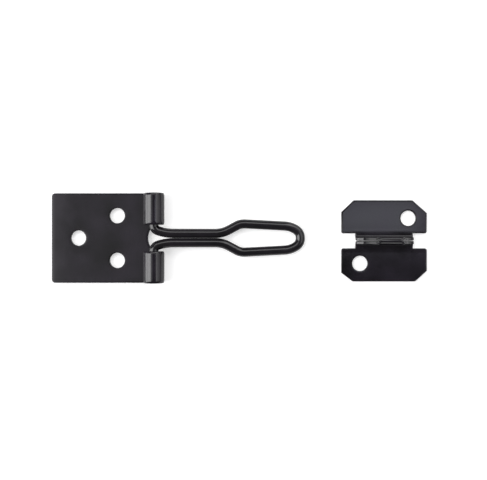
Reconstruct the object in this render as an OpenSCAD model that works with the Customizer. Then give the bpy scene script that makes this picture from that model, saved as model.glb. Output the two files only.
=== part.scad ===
// Safety hasp of the wire pattern, in millimetres.
// A sheet steel plate with two rolled knuckles carries a bent wire loop, and a separate folded
// sheet staple stands up through the loop's eye for a padlock. The plates lie on z = 0, which is
// the face that they are screwed to. The origin is the centre of the hasp plate's screw holes.

/* [Screw holes] */
// Diameter of every screw hole
screw_d = 5.5; // [4.5:0.1:6]
// Diameter of the circle through the hasp plate's three screw holes
hasp_screw_circle_d = 18.5; // [16.5:0.1:20]
// Half the distance between the staple's two screw holes, along the staple
staple_screw_x = 8.65; // [7:0.05:10]
// Half the distance between the staple's two screw holes, across the staple
staple_screw_y = 8.1; // [7:0.05:9.5]

/* [Hasp plate] */
// Hinge axis to the plate's free edge
plate_len = 36.7; // [35:0.1:50]
// Plate width, along the hinge axis
plate_w = 32; // [29:0.1:44]
// Sheet thickness of the plate and its knuckles
plate_t = 2; // [1.6:0.1:2.4]
// Radius of the plate's free corners
plate_corner_r = 1.2; // [0.5:0.1:3]
// Free edge to the centre of the three screw holes
screw_circle_inset = 18.7; // [15:0.1:19]
// Clear width between the two knuckles, where the loop comes out
mouth_w = 9.4; // [9:0.1:12]
// Depth of the cut-out between the knuckles, behind the hinge axis
cutout_depth = 2.45; // [1.5:0.05:3.5]
// Straight part of the cut-out's sides behind the hinge axis, before its round end
cutout_side = 0.3; // [0.1:0.05:0.8]
// Gap between the rolled sheet's end and the plate's top face
curl_gap = 0.2; // [0.1:0.05:0.5]

/* [Wire loop] */
// Wire diameter
wire_d = 3.3; // [3:0.1:3.8]
// Running clearance of the wire in its knuckle, on the radius
pin_clearance = 0.08; // [0.03:0.01:0.1]
// How far each wire end stops short of its knuckle's outer end
wire_end_inset = 0.5; // [0.2:0.1:2]
// Chamfer on each wire end
wire_end_chamfer = 0.4; // [0.2:0.1:0.8]
// Knuckle's inner end to where the wire starts to bend
mouth_clearance = 0.15; // [0.05:0.05:0.3]
// Clear gap between the two parallel shanks
shank_gap = 0.1; // [0.05:0.05:0.6]
// Hinge axis to the end of the parallel shanks
shank_end = 21.8; // [16:0.1:27]
// Outside width of the eye at its shoulders
eye_w = 13.4; // [12:0.1:15]
// Hinge axis to the outside of the loop's nose
loop_reach = 53.8; // [50:0.1:66]
// Angle at which the wires spread into the eye
flare_angle = 28; // [22:1:35]
// Angle at which each side of the eye closes in towards the nose
side_taper = 3; // [0.5:0.5:4]
// Tight bend at the knuckle, radius to the wire's centre
mouth_bend_r = 2.1; // [2:0.1:2.6]
// Angle at which each wire leaves that bend, before a gentle one lays it beside the other
closing_angle = 18; // [15:1:24]
// Bend that ends the shank, radius to the wire's centre
flare_bend_r = 10; // [5:0.5:12]
// Bend at the eye's shoulder, radius to the wire's centre
shoulder_bend_r = 5.5; // [3:0.5:7]
// Bend from the eye's side into the nose, radius to the wire's centre
nose_bend_r = 8.5; // [4:0.5:10]
// Turn of the bend from the eye's side into the nose
nose_bend_angle = 28; // [20:1:40]
// Straight wire at the tip of the nose
nose_flat = 0.4; // [0.2:0.1:2]
// Straight wire left between two bends that follow each other
bend_spacing = 0.2; // [0.15:0.05:0.5]
// How much thinner the wire is in its bends, on the radius
bend_thinning = 0.015; // [0.005:0.005:0.05]

/* [Staple plate] */
// Overall length of the staple, in line with its lug
staple_len = 30.6; // [27:0.1:40]
// Overall width of the staple, across its lug
staple_w = 29.1; // [27:0.1:40]
// Sheet thickness of the staple
staple_t = 1.25; // [1:0.05:1.6]
// Corner cut of the wings at 45 degrees
wing_chamfer = 4.3; // [3:0.1:6]
// Radius of the wings' inner corners
wing_corner_r = 0.7; // [0.3:0.1:1.5]
// Length of the neck that joins the wings to the lug
neck_len = 20.6; // [19:0.1:24]
// Inside radius of the bend between wing and lug
root_bend_r = 1.4; // [1:0.1:2]
// Slit left between the lug's two layers
fold_gap = 0.1; // [0.05:0.05:0.3]

/* [Lug] */
// Height of the lug's crest above the screwed face
lug_h = 14.25; // [13:0.05:18]
// Straight length of the folded crest, before its corners are rounded
crest_len = 9.3; // [8:0.1:11]
// Lean of the lug's sides from upright
lug_lean = 14; // [10:1:20]
// Hollow radius where the lug's sides run out into the neck
root_flare_r = 8; // [5:0.5:10]
// Radius at the crest's two ends
crest_corner_r = 0.9; // [0.4:0.1:1.5]
// Diameter of the padlock hole
padlock_d = 7; // [5:0.1:7.6]
// Room between the closed loop's wire and the padlock hole
padlock_lift = 0.35; // [0.1:0.05:0.8]

/* [Layout] */
// Loop's nose to the staple's near edge, as the two are laid out
layout_gap = 13.1; // [5:0.1:30]
// How far the staple lies to the hasp's right-hand side, as the two are laid out
layout_offset = 1; // [0:0.1:3]

/* [Hidden] */
$fn = 96;

// Reach of a tool that cuts past a face
cut = 0.5;
// Length by which each bend of the wire runs into the straights beside it
bend_lap = 0.05;

// Hinge
wire_r = wire_d / 2;
bore_r = wire_r + pin_clearance;
knuckle_r = bore_r + plate_t;
hinge_x = plate_len - screw_circle_inset;
hinge_z = knuckle_r;
mouth_y = mouth_w / 2;
knuckle_len = plate_w / 2 - mouth_y;
// The sheet runs round from the underside to this angle, where its end stops over the plate
curl_end = 180 + asin((hinge_z - plate_t - curl_gap) / knuckle_r);
// The cut-out's round end meets its straight sides at the knuckles' inner faces
cutout_rise = cutout_depth - cutout_side;
cutout_r = (mouth_y * mouth_y + cutout_rise * cutout_rise) / (2 * cutout_rise);

// Wire, as a wire bender makes it, with each half the mirror of the other
leg_y = plate_w / 2 - wire_end_inset;
bend_y = mouth_y - mouth_clearance;
shank_y = wire_r + shank_gap / 2;
bend_r = wire_r - bend_thinning;
// The quarter turn out of the knuckle is a tight bend and a gentle one, which takes up what the
// tight one leaves of the way to the shank's line
mouth_turn = 90 - closing_angle;
shank_bend_r = (bend_y - shank_y - mouth_bend_r * cos(closing_angle)
    - bend_spacing * sin(closing_angle)) / (1 - cos(closing_angle));
shank_start = mouth_bend_r * (1 - sin(closing_angle)) + bend_spacing * cos(closing_angle)
    + shank_bend_r * sin(closing_angle);
shoulder_y = eye_w / 2 - wire_r;
flare_len = (shoulder_y - shank_y - (flare_bend_r + shoulder_bend_r) * (1 - cos(flare_angle)))
    / sin(flare_angle);
side_start_x = shank_end + flare_len * cos(flare_angle) + flare_bend_r * sin(flare_angle)
    + shoulder_bend_r * (sin(flare_angle) + sin(side_taper));
side_start_y = shoulder_y - shoulder_bend_r * (1 - cos(side_taper));
// The nose is two bends a side, and the tip's bend closes on the straight at the tip
tip_heading = side_taper + nose_bend_angle;
tip_turn = 90 - tip_heading;
nose_drop = nose_bend_r * (cos(side_taper) - cos(tip_heading)) + bend_spacing * sin(tip_heading)
    + nose_flat / 2;
nose_run = nose_bend_r * (sin(tip_heading) - sin(side_taper)) + bend_spacing * cos(tip_heading);
tip_run = (1 - sin(tip_heading)) / cos(tip_heading);
side_len = (loop_reach - wire_r - side_start_x - nose_run - (side_start_y - nose_drop) * tip_run)
    / (cos(side_taper) - sin(side_taper) * tip_run);
tip_bend_r = (side_start_y - side_len * sin(side_taper) - nose_drop) / cos(tip_heading);
// Each step of the bender is [feed, turn, bend radius], and a positive turn is to the left
half_steps = [
    [leg_y - bend_y, mouth_turn, mouth_bend_r],
    [bend_spacing, closing_angle, shank_bend_r],
    [shank_end - shank_start, flare_angle, flare_bend_r],
    [flare_len, -flare_angle - side_taper, shoulder_bend_r],
    [side_len, -nose_bend_angle, nose_bend_r],
    [bend_spacing, -tip_turn, tip_bend_r]
];
tip_step = len(half_steps) - 1;
loop_steps = concat(
    half_steps,
    [for (i = [tip_step : -1 : 0])
        [i == tip_step ? nose_flat : half_steps[i + 1][0], half_steps[i][1], half_steps[i][2]]],
    [[half_steps[0][0], 0, 0]]
);
// At rest the loop hangs from its hinge until the nose touches the face that the plates lie on
loop_drop = asin((hinge_z - wire_r) / (loop_reach - wire_r));

// Staple
staple_x = hinge_x + loop_reach + layout_gap + staple_len / 2;
staple_y = -layout_offset;
lug_half_t = fold_gap / 2 + staple_t;
bend_line_y = lug_half_t + root_bend_r;
root_z = staple_t + root_bend_r;
padlock_z = staple_t + wire_d + padlock_lift + padlock_d / 2;
// The lug's sides are straight lines that lean in to the crest's ends
lug_foot_x = crest_len / 2 + lug_h * tan(lug_lean);
side_along = [-sin(lug_lean), cos(lug_lean)];
side_out = [cos(lug_lean), sin(lug_lean)];
// The hollow's circle touches the side and passes the top corner of the neck
neck_corner = [neck_len / 2, root_z];
corner_out = (neck_corner - [lug_foot_x, 0]) * side_out;
corner_along = (neck_corner - [lug_foot_x, 0]) * side_along;
flare_touch = corner_along + sqrt(2 * root_flare_r * corner_out - corner_out * corner_out);
flare_foot = [lug_foot_x, 0] + flare_touch * side_along;
flare_centre = flare_foot + root_flare_r * side_out;
crest_round_x = crest_len / 2 - crest_corner_r * (1 - sin(lug_lean)) / cos(lug_lean);
crest_round = [crest_round_x, lug_h - crest_corner_r];

// Children drawn in x and z, made len long from y
module along_y(y, len) {
    translate([0, y + len, 0]) rotate([90, 0, 0]) linear_extrude(len) children();
}

// Children drawn in y and z, made len long, centred on x = 0
module along_x(len) {
    rotate([90, 0, 90]) linear_extrude(len, center = true) children();
}

// A ring's piece between two angles under a half turn apart
module ring_sector(r_in, r_out, from, to) {
    far = 2 * r_out / cos((to - from) / 2);
    intersection() {
        difference() {
            circle(r_out);
            circle(r_in);
        }
        polygon([[0, 0], far * [cos(from), sin(from)], far * [cos(to), sin(to)]]);
    }
}

// The rolled sheet of a knuckle, seen along the hinge axis
module curl_section() {
    far = 2 * knuckle_r;
    difference() {
        circle(knuckle_r);
        circle(bore_r);
        polygon([[0, 0], far * [cos(curl_end), sin(curl_end)], [-far, -far], [0, -far]]);
    }
}

module hasp_outline() {
    difference() {
        union() {
            translate([-plate_len, -plate_w / 2 + plate_corner_r])
                square([plate_len, plate_w - 2 * plate_corner_r]);
            translate([-plate_len + plate_corner_r, -plate_w / 2])
                square([plate_len - plate_corner_r, plate_w]);
            for (side = [-1, 1])
                translate([-plate_len + plate_corner_r, side * (plate_w / 2 - plate_corner_r)])
                    circle(plate_corner_r);
        }
        intersection() {
            translate([-cutout_depth - cut, -mouth_y]) square([cutout_depth + 2 * cut, mouth_w]);
            translate([cutout_r - cutout_depth, 0]) circle(cutout_r);
        }
    }
}

module hasp_plate() {
    color("#2d2c2f") difference() {
        translate([hinge_x, 0, 0]) {
            linear_extrude(plate_t) hasp_outline();
            translate([0, 0, hinge_z]) {
                along_y(mouth_y, knuckle_len) curl_section();
                along_y(-plate_w / 2, knuckle_len) curl_section();
            }
        }
        for (turn = [60, 180, 300])
            rotate([0, 0, turn]) translate([hasp_screw_circle_d / 2, 0, -cut])
                cylinder(d = screw_d, h = plate_t + 2 * cut);
    }
}

// One bend of the wire, to the left from the x axis, with the section's seam on the inside
module wire_bend(turn, r) {
    over = bend_lap / r * 180 / PI;
    translate([0, r, 0]) rotate([0, 0, -90 - over]) rotate_extrude(angle = turn + 2 * over)
        translate([r, 0]) rotate(180) circle(bend_r);
}

module bent_wire(steps, at = 0) {
    feed = steps[at][0];
    turn = steps[at][1];
    r = steps[at][2];
    side = turn < 0 ? 1 : 0;
    rotate([0, 90, 0]) cylinder(r = wire_r, h = feed);
    if (at + 1 < len(steps)) translate([feed, 0, 0]) {
        mirror([0, side, 0]) wire_bend(abs(turn), r);
        translate([0, turn < 0 ? -r : r, 0]) rotate([0, 0, turn])
            translate([0, turn < 0 ? r : -r, 0]) bent_wire(steps, at + 1);
    }
}

// Takes the sharp rim off a wire end, with the wire along z and its end at the origin
module end_chamfer() {
    reach = wire_end_chamfer + 2 * cut;
    translate([0, 0, -wire_end_chamfer - cut]) difference() {
        cylinder(r = wire_r + 2 * cut, h = reach);
        cylinder(r1 = wire_r + cut, r2 = wire_r + cut - reach, h = reach);
    }
}

module wire_loop() {
    color("#252527") translate([hinge_x, 0, hinge_z]) rotate([0, loop_drop, 0]) difference() {
        translate([0, leg_y, 0]) rotate([0, 0, -90]) bent_wire(loop_steps);
        for (side = [0, 1]) mirror([0, side, 0])
            translate([0, leg_y, 0]) rotate([-90, 0, 0]) end_chamfer();
    }
}

// One wing in plan, on the side y > 0
module wing_outline() {
    half_len = staple_len / 2;
    half_w = staple_w / 2;
    polygon([
        [-half_len + wing_corner_r, bend_line_y],
        [half_len - wing_corner_r, bend_line_y],
        [half_len, bend_line_y + wing_corner_r],
        [half_len, half_w - wing_chamfer],
        [half_len - wing_chamfer, half_w],
        [-half_len + wing_chamfer, half_w],
        [-half_len, half_w - wing_chamfer],
        [-half_len, bend_line_y + wing_corner_r]
    ]);
    for (side = [-1, 1])
        translate([side * (half_len - wing_corner_r), bend_line_y + wing_corner_r])
            circle(wing_corner_r);
}

// The folded sheet between the wings, seen along the lug: up one layer, over the crest and down
module fold_section() {
    for (side = [0, 1]) mirror([side, 0]) {
        translate([bend_line_y, root_z])
            ring_sector(root_bend_r, root_bend_r + staple_t, 180, 270);
        translate([fold_gap / 2, root_z]) square([staple_t, lug_h - lug_half_t - root_z]);
        translate([0, lug_h - lug_half_t]) ring_sector(fold_gap / 2, lug_half_t, 0, 90);
    }
}

// The lug in front view
module lug_outline() {
    for (side = [0, 1]) mirror([side, 0]) {
        difference() {
            polygon([
                [0, -cut],
                [neck_len / 2, -cut],
                neck_corner,
                flare_foot,
                crest_round + crest_corner_r * side_out,
                [crest_round[0], lug_h],
                [0, lug_h]
            ]);
            translate(flare_centre) circle(root_flare_r);
        }
        translate(crest_round) circle(crest_corner_r);
    }
}

module staple_plate() {
    color("#2a292c") translate([staple_x, staple_y, 0]) difference() {
        union() {
            for (turn = [0, 180])
                rotate([0, 0, turn]) linear_extrude(staple_t) wing_outline();
            intersection() {
                along_x(neck_len) fold_section();
                along_y(-staple_w / 2, staple_w) lug_outline();
            }
        }
        for (turn = [0, 180])
            rotate([0, 0, turn]) translate([staple_screw_x, staple_screw_y, -cut])
                cylinder(d = screw_d, h = staple_t + 2 * cut);
        translate([0, lug_half_t + cut, padlock_z]) rotate([90, 0, 0])
            cylinder(d = padlock_d, h = 2 * (lug_half_t + cut));
    }
}

hasp_plate();
wire_loop();
staple_plate();
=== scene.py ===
# Wire safety hasp: a rolled sheet plate, a bent wire loop and a folded sheet staple, laid out face up.
# Each piece is made as the workshop makes it: blanked or fed flat, then bent, then coated black.
import math
import bpy
import numpy as np
from mathutils import Matrix, Quaternion, Vector, geometry


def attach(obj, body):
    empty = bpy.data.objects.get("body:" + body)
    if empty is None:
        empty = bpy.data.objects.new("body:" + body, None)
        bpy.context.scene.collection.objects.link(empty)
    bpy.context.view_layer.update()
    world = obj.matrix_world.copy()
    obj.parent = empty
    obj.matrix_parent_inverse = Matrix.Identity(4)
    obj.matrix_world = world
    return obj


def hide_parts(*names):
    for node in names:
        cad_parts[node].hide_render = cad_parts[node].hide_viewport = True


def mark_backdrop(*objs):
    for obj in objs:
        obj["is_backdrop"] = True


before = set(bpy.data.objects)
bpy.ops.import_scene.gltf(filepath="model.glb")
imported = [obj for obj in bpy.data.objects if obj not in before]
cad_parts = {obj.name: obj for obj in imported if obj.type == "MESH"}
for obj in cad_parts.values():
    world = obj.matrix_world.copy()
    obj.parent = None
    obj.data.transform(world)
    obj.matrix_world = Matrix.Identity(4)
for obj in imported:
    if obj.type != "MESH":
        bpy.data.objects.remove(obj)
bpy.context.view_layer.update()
mm = 0.001


def hexColour(code):
    channels = [int(code[i:i + 2], 16) / 255 for i in (1, 3, 5)]
    linear = [c / 12.92 if c <= 0.04045 else ((c + 0.055) / 1.055) ** 2.4 for c in channels]
    return (*linear, 1.0)


def addNode(tree, kind, sockets=None, **settings):
    node = tree.nodes.new(kind)
    for name, value in settings.items():
        setattr(node, name, value)
    for key, value in (sockets or {}).items():
        if isinstance(value, bpy.types.NodeSocket):
            tree.links.new(value, node.inputs[key])
        else:
            node.inputs[key].default_value = value
    return node


def newTree(name, inputs):
    tree = bpy.data.node_groups.new(name, "GeometryNodeTree")
    tree.interface.new_socket("Geometry", in_out="INPUT", socket_type="NodeSocketGeometry")
    for title, kind in inputs.items():
        tree.interface.new_socket(title, in_out="INPUT", socket_type="NodeSocket" + kind)
    tree.interface.new_socket("Geometry", in_out="OUTPUT", socket_type="NodeSocketGeometry")
    return tree, addNode(tree, "NodeGroupInput").outputs


def closeTree(tree, shape, material):
    whole = addNode(tree, "GeometryNodeRealizeInstances", {"Geometry": shape})
    painted = addNode(tree, "GeometryNodeSetMaterial", {"Geometry": whole.outputs[0], "Material": material})
    addNode(tree, "NodeGroupOutput", {"Geometry": painted.outputs[0]})


def useTree(obj, tree, values):
    step = obj.modifiers.new(tree.name, "NODES")
    step.node_group = tree
    for item in tree.interface.items_tree:
        if item.in_out == "INPUT" and item.name in values:
            step[item.identifier] = values[item.name]


# The evaluated object as a plain mesh, moved to its place in the row frame
def settle(obj, name, place):
    bpy.context.view_layer.update()
    final = bpy.data.meshes.new_from_object(obj.evaluated_get(bpy.context.evaluated_depsgraph_get()))
    obj.modifiers.clear()
    bpy.data.objects.remove(obj)
    final.transform(place)
    final.name = name
    final.shade_smooth()
    done = bpy.data.objects.new(name, final)
    bpy.context.scene.collection.objects.link(done)
    print(name, len(final.polygons), "faces")
    return done


# Electrocoat on pressed sheet: a thin black with a violet cast, between satin and gloss. It shows soft
# lamps as smooth patches, which the sheet's own waviness of some 13 mm bends a little, and orange peel
# of just under a millimetre blurs. All sizes and heights are in millimetres.
sheetFinish = dict(
    dark="#060508", pale="#1d1921", patchSize=12.0, patchSeed=579.7, roughness=0.14, roughnessSpread=0.02,
    waveSize=13.0, waveDetail=0.0, waveHeight=0.03, peelSize=0.9, peelDetail=1.0, peelHeight=0.0015)
# The same coat on drawn wire: a more neutral black, with the die's lines along the wire. Real die lines
# are some 0.05 mm apart, and are drawn at 0.3 mm so that they show.
wireFinish = dict(
    dark="#100f12", pale="#1b181d", patchSize=7.0, patchSeed=0.0, roughness=0.14, roughnessSpread=0.02,
    lineSize=0.3, lineLength=15.0, lineDetail=1.0, lineHeight=0.0012)
# What both coats share: the resin's IOR, how cloudy the patches are, and between which values of their
# noise they go from dark to pale and from glossy to dull
coating = dict(ior=1.5, patchDetail=4.0, toneSpan=(0.36, 0.64), dullSpan=(0.35, 0.65))


# Patches a shade paler and duller than the rest
def newCoat(name, finish):
    material = bpy.data.materials.new(name)
    material.use_nodes = True
    tree = material.node_tree
    coat = tree.nodes["Principled BSDF"]
    coat.inputs["IOR"].default_value = coating["ior"]
    place = addNode(tree, "ShaderNodeTexCoord").outputs["Object"]
    patch = addNode(tree, "ShaderNodeTexNoise", {
        "Vector": place, "Scale": 1 / (finish["patchSize"] * mm), "Detail": coating["patchDetail"],
        "W": finish["patchSeed"]}, noise_dimensions="4D").outputs[0]
    tone = addNode(tree, "ShaderNodeValToRGB", {"Fac": patch})
    codes = (finish["dark"], finish["pale"])
    for stop, spot, code in zip(tone.color_ramp.elements, coating["toneSpan"], codes):
        stop.position, stop.color = spot, hexColour(code)
    tree.links.new(tone.outputs["Color"], coat.inputs["Base Color"])
    dull = addNode(tree, "ShaderNodeMapRange", {
        "Value": patch, "From Min": coating["dullSpan"][0], "From Max": coating["dullSpan"][1],
        "To Min": finish["roughness"] - finish["roughnessSpread"],
        "To Max": finish["roughness"] + finish["roughnessSpread"]})
    tree.links.new(dull.outputs[0], coat.inputs["Roughness"])
    return material, tree, coat, place


# Unevenness in layers, one over the other, each with the size, detail and height that the finish gives it
def addRelief(tree, coat, vector, finish, layers):
    below = {}
    for layer in layers:
        noise = addNode(tree, "ShaderNodeTexNoise", {
            "Vector": vector, "Scale": 1 / (finish[layer + "Size"] * mm), "Detail": finish[layer + "Detail"],
            "W": 0.0}, noise_dimensions="4D")
        bump = addNode(tree, "ShaderNodeBump", {
            "Height": noise.outputs[0], "Strength": 1.0, "Distance": finish[layer + "Height"] * mm, **below})
        below = {"Normal": bump.outputs[0]}
    tree.links.new(below["Normal"], coat.inputs["Normal"])


def makeSheetCoat():
    material, tree, coat, place = newCoat("electrocoated_sheet", sheetFinish)
    addRelief(tree, coat, place, sheetFinish, ("wave", "peel"))
    return material


# The wire's mesh carries each point's way round the wire and its length along it, in metres
def makeWireCoat():
    material, tree, coat = newCoat("electrocoated_wire", wireFinish)[:3]
    around = addNode(tree, "ShaderNodeAttribute", attribute_name="around").outputs["Vector"]
    along = addNode(tree, "ShaderNodeAttribute", attribute_name="along").outputs["Fac"]
    slow = addNode(tree, "ShaderNodeMath", {
        0: along, 1: wireFinish["lineSize"] / wireFinish["lineLength"]}, operation="MULTIPLY")
    drawn = addNode(tree, "ShaderNodeCombineXYZ", {"Z": slow.outputs[0]})
    lines = addNode(tree, "ShaderNodeVectorMath", {0: around, 1: drawn.outputs[0]}, operation="ADD")
    addRelief(tree, coat, lines.outputs[0], wireFinish, ("line",))
    return material


sheetCoat = makeSheetCoat()
wireCoat = makeWireCoat()
print("materials ready")


# Sheet metal is a flat blank with rounded rims, which is then bent. This says how finely each curve is
# drawn, in degrees from point to point.
fineness = dict(corner=7.5, hole=5, rim=15, curl=5, fold=7.5, cutout=4, hollow=5, crest=10, wire=3)
# The first and last ruling of a bend stand this share of a step inside it, clear of its very ends
rulingMargin = 0.02
# The flat sheet beside a bend has a ruling of its own this far off, so that its shading stays flat
flatGap = 0.2
# Points of the flat faces this close to each other are taken as one
sameSpot = 1e-6


# Points on an arc, ends included, angles in degrees
def arcPoints(centre, radius, start, end, step=fineness["corner"]):
    count = max(2, math.ceil(abs(end - start) / step))
    turns = [math.radians(start + (end - start) * i / count) for i in range(count + 1)]
    return [(centre[0] + radius * math.cos(a), centre[1] + radius * math.sin(a)) for a in turns]


# A hole's outline runs clockwise, so that the metal stays on its left
def holeLoop(centre, radius):
    return arcPoints(centre, radius, 360, 0, fineness["hole"])[:-1]


# From the top face out over its rounded rim, down the cut face and in over the lower face's rim. The
# guard is a narrow flat band inside each rim, which keeps the face's shading flat.
def rimProfile(sheet):
    thick, wide, deep, guard = (sheet[k] for k in ("thickness", "rimWidth", "rimDepth", "guard"))
    quarter = [math.radians(a) for a in range(0, 91, fineness["rim"])]
    top = [(wide * (1 - math.sin(a)), thick - deep * (1 - math.cos(a))) for a in quarter]
    low = [(inset, thick - height) for inset, height in top[::-1]]
    return [(wide + guard, thick)] + top + low + [(wide + guard, 0)]


# The die draws the rim deeper along the bent part of the strip, given by its start, its end, the rim's
# depth there and how long it takes to reach that depth
def rimHeights(fed, height, sheet):
    start, end, depth, runIn = sheet["drawnRim"]
    share = np.clip(np.minimum(fed - start, end - fed) / runIn, 0, 1)
    deeper = 1 + share * (depth / sheet["rimDepth"] - 1)
    if height > sheet["thickness"] / 2:
        return sheet["thickness"] - (sheet["thickness"] - height) * deeper
    return height * deeper


# For each point of an outline, the way out of the metal, long enough to keep offset edges parallel
def mitres(points):
    edge = np.roll(points, -1, 0) - points
    edge /= np.linalg.norm(edge, axis=1)[:, None]
    out = np.stack([edge[:, 1], -edge[:, 0]], 1)
    before = np.roll(out, 1, 0)
    return (out + before) / (1 + (out * before).sum(1))[:, None]


# Adds a point wherever a bend's ruling crosses both the outline and its offset edge. Its way out of
# the metal runs along the ruling, so that the offset point stays on it.
def crossRulings(loop, rulings, inset):
    rim = np.array(loop)
    out = mitres(rim)
    inner = rim - inset * out
    points, ways, marks = [], [], []
    for i in range(len(rim)):
        j = (i + 1) % len(rim)
        points.append(rim[i])
        ways.append(out[i])
        marks.append(None)
        for c in sorted(rulings, key=lambda c: abs(c - rim[i][0])):
            if (rim[i][0] - c) * (rim[j][0] - c) >= 0 or (inner[i][0] - c) * (inner[j][0] - c) >= 0:
                continue
            spot, under = (p[i] + (c - p[i][0]) / (p[j][0] - p[i][0]) * (p[j] - p[i]) for p in (rim, inner))
            points.append(spot)
            ways.append((spot - under) / inset)
            marks.append(c)
    return np.array(points), np.array(ways), marks


def insideLoops(spots, loops):
    inside = np.zeros(len(spots), bool)
    for loop in loops:
        for a, b in zip(loop, np.roll(loop, -1, 0)):
            spans = (a[1] > spots[:, 1]) != (b[1] > spots[:, 1])
            if a[1] != b[1]:
                inside ^= spans & (spots[:, 0] < a[0] + (spots[:, 1] - a[1]) * (b[0] - a[0]) / (b[1] - a[1]))
    return inside


# Triangles of a flat face, with an edge along each ruling
def capFaces(loops, marks, first):
    flat = [Vector(p) for loop in loops for p in loop]
    starts = np.cumsum([0] + [len(loop) for loop in loops])
    edges = [(s + i, s + (i + 1) % len(loop)) for s, loop in zip(starts, loops) for i in range(len(loop))]
    onRuling = {}
    for s, loop, marked in zip(starts, loops, marks):
        for i, c in enumerate(marked):
            if c is not None:
                onRuling.setdefault(c, []).append((loop[i][1], int(s + i)))
    for spots in onRuling.values():
        spots.sort()
        edges += [(low[1], high[1]) for low, high in zip(spots[::2], spots[1::2])]
    found = geometry.delaunay_2d_cdt(flat, edges, [], 0, sameSpot)
    corners, faces, origins = found[0], found[2], found[3]
    middles = np.array([sum((corners[i] for i in f), Vector((0, 0))) / 3 for f in faces])
    kept = insideLoops(middles, loops)
    return [[first + origins[i][0] for i in f] for f, keep in zip(faces, kept) if keep]


def sheetBlank(name, loops, sheet, rulings):
    profile = rimProfile(sheet)
    outlines, ways, marks = zip(*(crossRulings(loop, rulings, profile[0][0]) for loop in loops))
    corners, faces, total = [], [], sum(len(points) for points in outlines)
    for inset, height in profile:
        for points, way in zip(outlines, ways):
            spots = points - inset * way
            corners += [(x, y, h) for (x, y), h in zip(spots, rimHeights(spots[:, 0], height, sheet))]
    for level in range(len(profile) - 1):
        start = level * total
        for points in outlines:
            count = len(points)
            ring = [(start + i, start + (i + 1) % count) for i in range(count)]
            faces += [(a, a + total, b + total, b) for a, b in ring]
            start += count
    last = (len(profile) - 1) * total
    faces += capFaces([p - profile[0][0] * w for p, w in zip(outlines, ways)], marks, 0)
    lower = capFaces([p - profile[-1][0] * w for p, w in zip(outlines, ways)], marks, last)
    faces += [f[::-1] for f in lower]
    mesh = bpy.data.meshes.new(name)
    mesh.from_pydata(corners, [], faces)
    fed = mesh.attributes.new("fed", "FLOAT", "POINT")
    fed.data.foreach_set("value", [c[0] for c in corners])
    blank = bpy.data.objects.new(name, mesh)
    bpy.context.scene.collection.objects.link(blank)
    return blank


# One bend of a sheet that is fed along x. What lies past the bend's line is wound round the bend's
# axis over the arc's length, and what lies past the arc turns with it in one piece.
def pressBendTree():
    tree, given = newTree("pressBend", {
        "Line": "Float", "Arc": "Float", "Angle": "Float", "Centre Height": "Float", "Material": "Material"})
    fed = addNode(tree, "GeometryNodeInputNamedAttribute", {"Name": "fed"}, data_type="FLOAT")
    past = addNode(tree, "ShaderNodeMath", {0: fed.outputs[0], 1: given["Line"]}, operation="SUBTRACT")
    wound = addNode(tree, "ShaderNodeClamp", {"Value": past.outputs[0], "Min": 0.0, "Max": given["Arc"]})
    back = addNode(tree, "ShaderNodeMath", {0: wound.outputs[0], 1: -1.0}, operation="MULTIPLY")
    shift = addNode(tree, "ShaderNodeCombineXYZ", {"X": back.outputs[0]})
    here = addNode(tree, "GeometryNodeInputPosition")
    pulled = addNode(tree, "ShaderNodeVectorMath", {0: here.outputs[0], 1: shift.outputs[0]}, operation="ADD")
    share = addNode(tree, "ShaderNodeMath", {0: wound.outputs[0], 1: given["Arc"]}, operation="DIVIDE")
    turn = addNode(tree, "ShaderNodeMath", {0: share.outputs[0], 1: given["Angle"]}, operation="MULTIPLY")
    centre = addNode(tree, "ShaderNodeCombineXYZ", {"X": given["Line"], "Z": given["Centre Height"]})
    turned = addNode(tree, "ShaderNodeVectorRotate", {
        "Vector": pulled.outputs[0], "Center": centre.outputs[0], "Axis": (0, -1, 0),
        "Angle": turn.outputs[0]})
    bent = addNode(tree, "GeometryNodeSetPosition", {
        "Geometry": given["Geometry"], "Position": turned.outputs[0]})
    closeTree(tree, bent.outputs[0], given["Material"])
    return tree


pressBend = pressBendTree()


# A bend up has its centre over the sheet, and a bend down, with a negative angle, under it
def bend(sheet, line, degrees, inside):
    up = 1 if degrees > 0 else -1
    neutral = inside + sheet["thickness"] / 2
    return {
        "Line": line, "Angle": math.radians(degrees), "Arc": neutral * math.radians(abs(degrees)),
        "Centre Height": sheet["thickness"] + inside if up > 0 else -inside}


def rulingsOf(bends, step):
    lines = []
    for b in bends:
        count = math.ceil(math.degrees(abs(b["Angle"])) / step)
        share = b["Arc"] / (count + 2 * rulingMargin)
        lines += [b["Line"] + share * (i + rulingMargin) for i in range(count + 1)]
        lines += [b["Line"] - flatGap, b["Line"] + b["Arc"] + flatGap]
    return sorted(lines)


# The last bend of the sheet is made first, because each one carries all that lies past it
def pressSheet(name, loops, sheet, bends, step, material, place):
    blank = sheetBlank(name + "_blank", loops, sheet, rulingsOf(bends, step))
    for b in sorted(bends, key=lambda b: -b["Line"]):
        useTree(blank, pressBend, {**b, "Material": material})
    return settle(blank, name, place)


hasp = dict(
    hingeX=18.0, length=36.7, width=32.0, cornerRadius=1.2,
    screwHole=5.5, screwCircle=18.5, screwCircleInset=18.7, screwTurns=(60, 180, 300),
    mouthWidth=9.4, cutoutDepth=2.45, cutoutSide=0.3,
    boreRadius=1.73, curlDegrees=294.2, tabCorner=1.18,
    thickness=2.0, rimWidth=1.0, rimDepth=0.06, guard=0.1,
    drawnRim=(0.0, 100.0, 0.45, 1.0))


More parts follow.
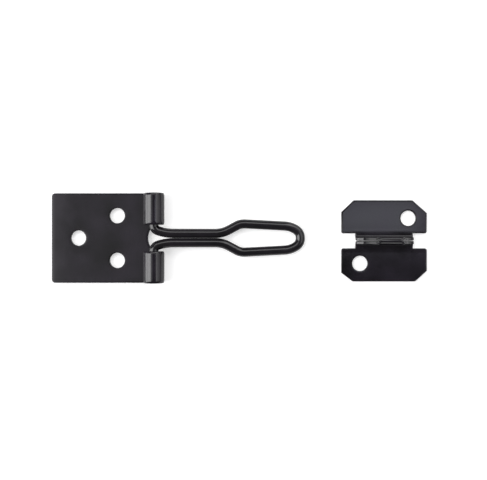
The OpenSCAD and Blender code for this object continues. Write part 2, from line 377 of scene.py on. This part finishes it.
def makeHaspPlate():
    p = hasp
    half, mouth, corner, tab = p["width"] / 2, p["mouthWidth"] / 2, p["cornerRadius"], p["tabCorner"]
    curl = bend(p, 0.0, p["curlDegrees"], p["boreRadius"])
    end, back = curl["Arc"], -p["length"]
    rise = p["cutoutDepth"] - p["cutoutSide"]
    cutoutRadius = (mouth ** 2 + rise ** 2) / (2 * rise)
    cutoutCentre = (cutoutRadius - p["cutoutDepth"], 0)
    spread = math.degrees(math.asin(mouth / cutoutRadius))
    outline = arcPoints((back + corner, -half + corner), corner, 180, 270)
    outline += arcPoints((end - tab, -half + tab), tab, 270, 360)
    outline += arcPoints((end - tab, -mouth - tab), tab, 0, 90)
    outline += arcPoints(cutoutCentre, cutoutRadius, 180 + spread, 180 - spread, fineness["cutout"])
    outline += arcPoints((end - tab, mouth + tab), tab, 270, 360)
    outline += arcPoints((end - tab, half - tab), tab, 0, 90)
    outline += arcPoints((back + corner, half - corner), corner, 90, 180)
    screwX = back + p["screwCircleInset"]
    holes = []
    for degrees in p["screwTurns"]:
        a = math.radians(degrees)
        spot = (screwX + p["screwCircle"] / 2 * math.cos(a), p["screwCircle"] / 2 * math.sin(a))
        holes.append(holeLoop(spot, p["screwHole"] / 2))
    place = Matrix.Scale(mm, 4) @ Matrix.Translation((p["hingeX"], 0, 0))
    return pressSheet("pressed_hasp_plate", [outline] + holes, p, [curl], fineness["curl"], sheetCoat, place)


haspPlate = makeHaspPlate()
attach(haspPlate, "plates")
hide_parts("hasp_plate")


# Each of the wings' four outer corners is cut off by its own length and width, as on the real staple
staple = dict(
    centre=(100.2, -1.0), length=30.6, width=29.1, wingGap=5.4, wingCorner=0.7,
    lowerCuts=((4.05, 3.1), (4.2, 3.8)), upperCuts=((5.2, 4.6), (4.4, 4.2)),
    screwHole=5.5, screwX=8.65, screwY=8.1,
    neck=20.6, neckTop=2.65, rootRadius=0.7, softDegrees=7.0, softRadius=19.0, foldGap=0.1,
    lugHeight=14.25, crest=9.3, crestCorner=0.9, lean=14.0, flare=8.0, padlockHole=7.0, padlockZ=8.4,
    thickness=1.25, rimWidth=0.5, rimDepth=0.12, guard=0.05,
    drawnRim=(-1.0, 29.6, 0.25, 1.0))


def makeStaple():
    p = staple
    thick, halfLen, halfWide, halfNeck = p["thickness"], p["length"] / 2, p["width"] / 2, p["neck"] / 2
    halfLug, wingLine = p["foldGap"] / 2 + thick, p["wingGap"] / 2
    # Each root runs out into its wing in a wide soft curve
    soft, widen = math.radians(p["softDegrees"]), p["softRadius"] - p["rootRadius"]
    rootLine = halfLug + p["rootRadius"] + widen * math.sin(soft)
    rootTop = thick + p["rootRadius"] + widen * (1 - math.cos(soft))
    layer = p["lugHeight"] - halfLug - rootTop
    runIn = bend(p, -rootLine, p["softDegrees"], p["softRadius"])
    rootUp = bend(p, runIn["Line"] + runIn["Arc"], 90 - p["softDegrees"], p["rootRadius"])
    upStart = rootUp["Line"] + rootUp["Arc"]
    crest = bend(p, upStart + layer, -180, p["foldGap"] / 2)
    downStart = crest["Line"] + crest["Arc"]
    rootDown = bend(p, downStart + layer, 90 - p["softDegrees"], p["rootRadius"])
    runOut = bend(p, rootDown["Line"] + rootDown["Arc"], p["softDegrees"], p["softRadius"])
    # Where the middle would lie if the flat upper wing went on to it
    upper = runOut["Line"] + runOut["Arc"] - rootLine
    wingStart = upper + wingLine
    # The lug's side in front view: up the neck, round the hollow, then straight in to the crest
    lean = math.radians(p["lean"])
    foot = Vector((p["crest"] / 2 + p["lugHeight"] * math.tan(lean), 0))
    along, out = Vector((-math.sin(lean), math.cos(lean))), Vector((math.cos(lean), math.sin(lean)))
    corner = Vector((halfNeck, p["neckTop"])) - foot
    reach = corner.dot(along) + math.sqrt(2 * p["flare"] * corner.dot(out) - corner.dot(out) ** 2)
    touch = foot + along * reach
    hollow = touch + out * p["flare"]
    low = math.degrees(math.atan2(p["neckTop"] - hollow.y, halfNeck - hollow.x)) + 360
    high = math.degrees(math.atan2(touch.y - hollow.y, touch.x - hollow.x)) + 360
    curve = arcPoints(hollow, p["flare"], low, high, fineness["hollow"])
    side = [(x, upStart + z - rootTop) for x, z in curve]
    # Over the fold the side still leans in, and then turns round the crest's corner
    cornerX = p["crest"] / 2 - p["crestCorner"] * (1 - math.sin(lean)) / math.cos(lean)
    for step in range(0, 91, fineness["crest"]):
        z = p["lugHeight"] - halfLug + halfLug * math.sin(math.radians(step))
        overCorner = z - p["lugHeight"] + p["crestCorner"]
        x = p["crest"] / 2 + (p["lugHeight"] - z) * math.tan(lean)
        if overCorner > p["crestCorner"] * math.sin(lean):
            x = cornerX + math.sqrt(max(0, p["crestCorner"] ** 2 - overCorner ** 2))
        side.append((x, crest["Line"] + crest["Arc"] * step / 180))
    fold = crest["Line"] + crest["Arc"] / 2
    right = side + [(x, 2 * fold - v) for x, v in side[-2::-1]]
    left = [(-x, v) for x, v in right[::-1]]
    # The whole blank in plan, x across and v along the strip, from the lower wing round to the right
    wingEnd = upper + halfWide
    (lx, ly), (rx, ry) = p["lowerCuts"]
    (ux, uy), (tx, ty) = p["upperCuts"]
    inner = p["wingCorner"]
    plan = [
        (-halfLen, -halfWide + ly), (-halfLen + lx, -halfWide),
        (halfLen - rx, -halfWide), (halfLen, -halfWide + ry)]
    plan += arcPoints((halfLen - inner, -wingLine - inner), inner, 0, 90)
    plan += [(halfNeck, -wingLine)] + right + [(halfNeck, wingStart)]
    plan += arcPoints((halfLen - inner, wingStart + inner), inner, 270, 360)
    plan += [
        (halfLen, wingEnd - uy), (halfLen - ux, wingEnd),
        (-halfLen + tx, wingEnd), (-halfLen, wingEnd - ty)]
    plan += arcPoints((-halfLen + inner, wingStart + inner), inner, 180, 270)
    plan += [(-halfNeck, wingStart)] + left + [(-halfNeck, -wingLine)]
    plan += arcPoints((-halfLen + inner, -wingLine - inner), inner, 90, 180)
    # The strip is fed along x, so the plan is laid on its side
    outline = [(v, -x) for x, v in plan]
    lugHole = upStart + p["padlockZ"] - rootTop
    holes = [
        holeLoop((-p["screwY"], p["screwX"]), p["screwHole"] / 2),
        holeLoop((upper + p["screwY"], -p["screwX"]), p["screwHole"] / 2),
        holeLoop((lugHole, 0), p["padlockHole"] / 2),
        holeLoop((2 * fold - lugHole, 0), p["padlockHole"] / 2)]
    bends = [runIn, rootUp, crest, rootDown, runOut]
    place = Matrix.Scale(mm, 4) @ Matrix.Translation((*p["centre"], 0)) @ Matrix.Rotation(math.pi / 2, 4, "Z")
    return pressSheet("folded_staple", [outline] + holes, p, bends, fineness["fold"], sheetCoat, place)


stapleSheet = makeStaple()
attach(stapleSheet, "plates")
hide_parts("staple_plate")


# The wire loop is a bender's program with a wire drawn along it. Its two shanks all but touch.
wire = dict(
    diameter=3.3, legEnd=15.5, bendStart=4.55, endChamfer=0.4, hinge=(18.0, 0.0, 3.73),
    mouthRadius=2.1, closingTurn=18, spacing=0.2, shankGap=0.03, shankEnd=21.8,
    flareTurn=28, flareRadius=10.0, eyeWidth=13.4, shoulderRadius=5.5,
    taper=3, noseTurn=28, noseRadius=8.5, noseFlat=0.4, reach=53.8, sides=40)


# Each step is a feed, a turn to the left in degrees and the bend's radius
def benderProgram():
    p = wire
    r = p["diameter"] / 2
    sin, cos = (lambda a: math.sin(math.radians(a))), (lambda a: math.cos(math.radians(a)))
    shankY = r + p["shankGap"] / 2
    close = p["closingTurn"]
    shankRadius = ((p["bendStart"] - shankY - p["mouthRadius"] * cos(close) - p["spacing"] * sin(close))
                   / (1 - cos(close)))
    shankStart = p["mouthRadius"] * (1 - sin(close)) + p["spacing"] * cos(close) + shankRadius * sin(close)
    shoulderY = p["eyeWidth"] / 2 - r
    flare = ((shoulderY - shankY - (p["flareRadius"] + p["shoulderRadius"]) * (1 - cos(p["flareTurn"])))
             / sin(p["flareTurn"]))
    sideX = (p["shankEnd"] + flare * cos(p["flareTurn"]) + p["flareRadius"] * sin(p["flareTurn"])
             + p["shoulderRadius"] * (sin(p["flareTurn"]) + sin(p["taper"])))
    sideY = shoulderY - p["shoulderRadius"] * (1 - cos(p["taper"]))
    tip = p["taper"] + p["noseTurn"]
    noseDrop = p["noseRadius"] * (cos(p["taper"]) - cos(tip)) + p["spacing"] * sin(tip) + p["noseFlat"] / 2
    noseRun = p["noseRadius"] * (sin(tip) - sin(p["taper"])) + p["spacing"] * cos(tip)
    tipRun = (1 - sin(tip)) / cos(tip)
    side = ((p["reach"] - r - sideX - noseRun - (sideY - noseDrop) * tipRun)
            / (cos(p["taper"]) - sin(p["taper"]) * tipRun))
    tipRadius = (sideY - side * sin(p["taper"]) - noseDrop) / cos(tip)
    half = [
        (p["legEnd"] - p["bendStart"], 90 - close, p["mouthRadius"]),
        (p["spacing"], close, shankRadius),
        (p["shankEnd"] - shankStart, p["flareTurn"], p["flareRadius"]),
        (flare, -p["flareTurn"] - p["taper"], p["shoulderRadius"]),
        (side, -p["noseTurn"], p["noseRadius"]),
        (p["spacing"], tip - 90, tipRadius)]
    feeds = [p["noseFlat"]] + [step[0] for step in half[:0:-1]]
    mirrored = [(feed, turn, radius) for feed, (_, turn, radius) in zip(feeds, half[::-1])]
    return half + mirrored + [(half[0][0], 0, 1)]


# The wire's centre line in the loop's own plane, from one leg's end round to the other's
def benderPath(steps):
    spot, heading = Vector((0, wire["legEnd"])), -math.pi / 2
    path = [spot.copy()]
    for feed, degrees, radius in steps:
        ahead = Vector((math.cos(heading), math.sin(heading)))
        for i in range(1, math.ceil(feed) + 1):
            path.append(spot + ahead * feed * i / math.ceil(feed))
        spot += ahead * feed
        if not degrees:
            continue
        sense = 1 if degrees > 0 else -1
        centre = spot + sense * radius * Vector((-ahead.y, ahead.x))
        arm, count = spot - centre, math.ceil(abs(degrees) / fineness["wire"])
        for i in range(1, count + 1):
            a = math.radians(degrees) * i / count
            c, s = math.cos(a), math.sin(a)
            path.append(centre + Vector((arm.x * c - arm.y * s, arm.x * s + arm.y * c)))
        spot = path[-1].copy()
        heading += math.radians(degrees)
    return path


def drawnWireTree():
    tree, given = newTree("drawnWire", {"Wire Radius": "Float", "Sides": "Int", "Material": "Material"})
    ring = addNode(tree, "GeometryNodeCurvePrimitiveCircle", {
        "Resolution": given["Sides"], "Radius": given["Wire Radius"]})
    scale = addNode(tree, "GeometryNodeInputRadius")
    # Both curves' own measures go into the mesh, in metres, for the lines in the coat
    spot = addNode(tree, "ShaderNodeVectorMath", {
        0: addNode(tree, "GeometryNodeInputPosition").outputs[0], 3: mm}, operation="SCALE")
    around = addNode(tree, "GeometryNodeStoreNamedAttribute", {
        "Geometry": ring.outputs[0], "Name": "around", "Value": spot.outputs[0]}, data_type="FLOAT_VECTOR")
    fed = addNode(tree, "ShaderNodeMath", {
        0: addNode(tree, "GeometryNodeSplineParameter").outputs["Length"], 1: mm}, operation="MULTIPLY")
    along = addNode(tree, "GeometryNodeStoreNamedAttribute", {
        "Geometry": given["Geometry"], "Name": "along", "Value": fed.outputs[0]}, data_type="FLOAT")
    tube = addNode(tree, "GeometryNodeCurveToMesh", {
        "Curve": along.outputs[0], "Profile Curve": around.outputs[0], "Scale": scale.outputs[0],
        "Fill Caps": True})
    closeTree(tree, tube.outputs[0], given["Material"])
    return tree


def makeWireLoop():
    p = wire
    r = p["diameter"] / 2
    path = benderPath(benderProgram())
    # The rim of each end is broken: the wire is full size up to the chamfer, then narrows to its end
    for end, inner in ((0, 1), (-1, -2)):
        way = (path[inner] - path[end]).normalized()
        path.insert(1 if end == 0 else len(path) - 1, path[end] + way * p["endChamfer"])
    curve = bpy.data.curves.new("wire_path", "CURVE")
    curve.dimensions = "3D"
    line = curve.splines.new("POLY")
    line.points.add(len(path) - 1)
    for point, spot in zip(line.points, path):
        point.co = (spot.x, spot.y, 0, 1)
        point.radius = 1
    for end in (0, -1):
        line.points[end].radius = (r - p["endChamfer"]) / r
    obj = bpy.data.objects.new("wire_path", curve)
    bpy.context.scene.collection.objects.link(obj)
    useTree(obj, drawnWireTree(), {"Wire Radius": r, "Sides": p["sides"], "Material": wireCoat})
    # At rest the loop hangs from its hinge until the nose meets the floor
    drop = math.asin((p["hinge"][2] - r) / (p["reach"] - r))
    place = Matrix.Scale(mm, 4) @ Matrix.Translation(p["hinge"]) @ Matrix.Rotation(drop, 4, "Y")
    return settle(obj, "bent_wire_loop", place)


wireLoop = makeWireLoop()
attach(wireLoop, "loop")
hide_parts("wire_loop")


# Floor and room. A glow is a radiance, where 1 is white. Lengths are in millimetres, and the horizon's
# heights in degrees.
studio = dict(
    floorSize=3000.0, floorColour="#dedede", cameraLift=0.5, glossLift=0.15, shadeNear=250.0, shadeFar=700.0,
    worldColour="#ffffff", worldGlow=0.12, horizonTop=8.0, horizonFull=2.0)


# How much an emission shows: one value for what the camera sees, one for what shows in a gloss or
# through a clear piece, and nothing for what only lights the piece
def seenDirectly(tree, inCamera, inGloss):
    rays = addNode(tree, "ShaderNodeLightPath").outputs
    camera = addNode(tree, "ShaderNodeMath", {0: rays["Is Camera Ray"], 1: inCamera}, operation="MULTIPLY")
    gloss = addNode(tree, "ShaderNodeMath", {
        0: rays["Is Glossy Ray"], 1: rays["Is Transmission Ray"]}, operation="MAXIMUM")
    weak = addNode(tree, "ShaderNodeMath", {0: gloss.outputs[0], 1: inGloss}, operation="MULTIPLY")
    seen = addNode(tree, "ShaderNodeMath", {0: camera.outputs[0], 1: weak.outputs[0]}, operation="MAXIMUM")
    return seen.outputs[0]


def makeFloor():
    half = studio["floorSize"] / 2 * mm
    corners = [(-half, -half, 0), (half, -half, 0), (half, half, 0), (-half, half, 0)]
    mesh = bpy.data.meshes.new("floor")
    mesh.from_pydata(corners, [], [(0, 1, 2, 3)])
    material = bpy.data.materials.new("pale_card")
    material.use_nodes = True
    tree = material.node_tree
    tree.nodes.clear()
    card = addNode(tree, "ShaderNodeBsdfDiffuse", {"Color": hexColour(studio["floorColour"])})
    # Far from the hasp, where no shadow falls, the camera sees the card as plain white
    place = addNode(tree, "ShaderNodeTexCoord").outputs["Object"]
    away = addNode(tree, "ShaderNodeVectorMath", {0: place}, operation="LENGTH")
    paler = addNode(tree, "ShaderNodeMapRange", {
        "Value": away.outputs["Value"], "From Min": studio["shadeNear"] * mm,
        "From Max": studio["shadeFar"] * mm, "To Min": studio["cameraLift"], "To Max": 1.0})
    lift = seenDirectly(tree, paler.outputs[0], studio["glossLift"])
    glow = addNode(tree, "ShaderNodeEmission", {"Strength": lift})
    both = addNode(tree, "ShaderNodeAddShader", {0: card.outputs[0], 1: glow.outputs[0]})
    addNode(tree, "ShaderNodeOutputMaterial", {"Surface": both.outputs[0]})
    mesh.materials.append(material)
    floor = bpy.data.objects.new("floor", mesh)
    bpy.context.scene.collection.objects.link(floor)
    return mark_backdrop(floor)


# A dim room, which the camera sees as white, with a pale band round the horizon in the gloss
def makeWorld():
    world = bpy.data.worlds.new("studio")
    bpy.context.scene.world = world
    world.use_nodes = True
    tree = world.node_tree
    way = addNode(tree, "ShaderNodeTexCoord").outputs["Generated"]
    height = addNode(tree, "ShaderNodeSeparateXYZ", {0: way}).outputs["Z"]
    full, top = (math.sin(math.radians(studio[k])) for k in ("horizonFull", "horizonTop"))
    band = addNode(tree, "ShaderNodeMapRange", {
        "Value": height, "From Min": full, "From Max": top, "To Min": 1.0, "To Max": 0.0},
        interpolation_type="SMOOTHSTEP")
    seen = seenDirectly(tree, 1.0, band.outputs[0])
    level = addNode(tree, "ShaderNodeMapRange", {"Value": seen, "To Min": studio["worldGlow"], "To Max": 1.0})
    sky = tree.nodes["Background"]
    sky.inputs["Color"].default_value = hexColour(studio["worldColour"])
    tree.links.new(level.outputs[0], sky.inputs["Strength"])


makeFloor()
makeWorld()
print("floor and room ready")

# Softboxes and cards over the table. Azimuth from +x and tilt from straight up say where each one
# hangs, the two spans how wide and how high it looks from the table, and turn how it is rolled, all
# in degrees. Distances are in millimetres, and a glow is a radiance.
lampTarget = Vector((50, 0, 0)) * mm
farLamp = dict(turn=0, distance=1000, tint="#ffffff")
lamps = [
    dict(farLamp, name="left_box_top", azimuth=183, tilt=45, wide=32, high=30, glow=6.2),
    dict(farLamp, name="left_box_low", azimuth=185, tilt=75, wide=34, high=30, glow=4.9),
    dict(farLamp, name="left_wall", azimuth=182, tilt=24, wide=26, high=11, glow=1.6),
    dict(farLamp, name="right_box", azimuth=0, tilt=36, wide=30, high=16, glow=0.9),
    dict(farLamp, name="right_wall", azimuth=5, tilt=50, wide=36, high=46, glow=1.0),
    dict(farLamp, name="back_box", azimuth=98, tilt=32, wide=50, high=24, glow=2.4),
    dict(farLamp, name="corner_box", azimuth=52, tilt=56, wide=36, high=34, glow=2.4),
    dict(farLamp, name="left_card", azimuth=180, tilt=11.3, wide=17, high=11, glow=0.45),
    dict(name="right_card", azimuth=9.8, tilt=17.9, wide=5.7, high=13.0, glow=2.05,
         turn=-9.8, distance=370, tint="#eef0ff")]
for p in lamps:
    light = bpy.data.lights.new(p["name"], "AREA")
    light.shape = "RECTANGLE"
    light.color = hexColour(p["tint"])[:3]
    away = p["distance"] * mm
    light.size, light.size_y = (2 * away * math.tan(math.radians(p[span] / 2)) for span in ("wide", "high"))
    light.energy = p["glow"] * math.pi * light.size * light.size_y
    lamp = bpy.data.objects.new(p["name"], light)
    bpy.context.scene.collection.objects.link(lamp)
    azimuth, tilt, turn = (math.radians(p[k]) for k in ("azimuth", "tilt", "turn"))
    flatWay = math.sin(tilt)
    way = Vector((flatWay * math.cos(azimuth), flatWay * math.sin(azimuth), math.cos(tilt)))
    lamp.location = lampTarget + way * away
    lamp.rotation_euler = (way.to_track_quat("Z", "Y") @ Quaternion((0, 0, 1), turn)).to_euler()
print(len(lamps), "lamps")

# The camera looks straight down, as in the photograph
lens = dict(spot=(49.8, -0.7, 260.0), focal=53.39, sensor=36.0, clip=(10.0, 10000.0))
camera = bpy.data.cameras.new("camera")
camera.lens, camera.sensor_width, camera.sensor_fit = lens["focal"], lens["sensor"], "HORIZONTAL"
camera.clip_start, camera.clip_end = (d * mm for d in lens["clip"])
eye = bpy.data.objects.new("camera", camera)
bpy.context.scene.collection.objects.link(eye)
eye.location = Vector(lens["spot"]) * mm
bpy.context.scene.camera = eye

bpy.context.scene.view_settings.view_transform = "Standard"
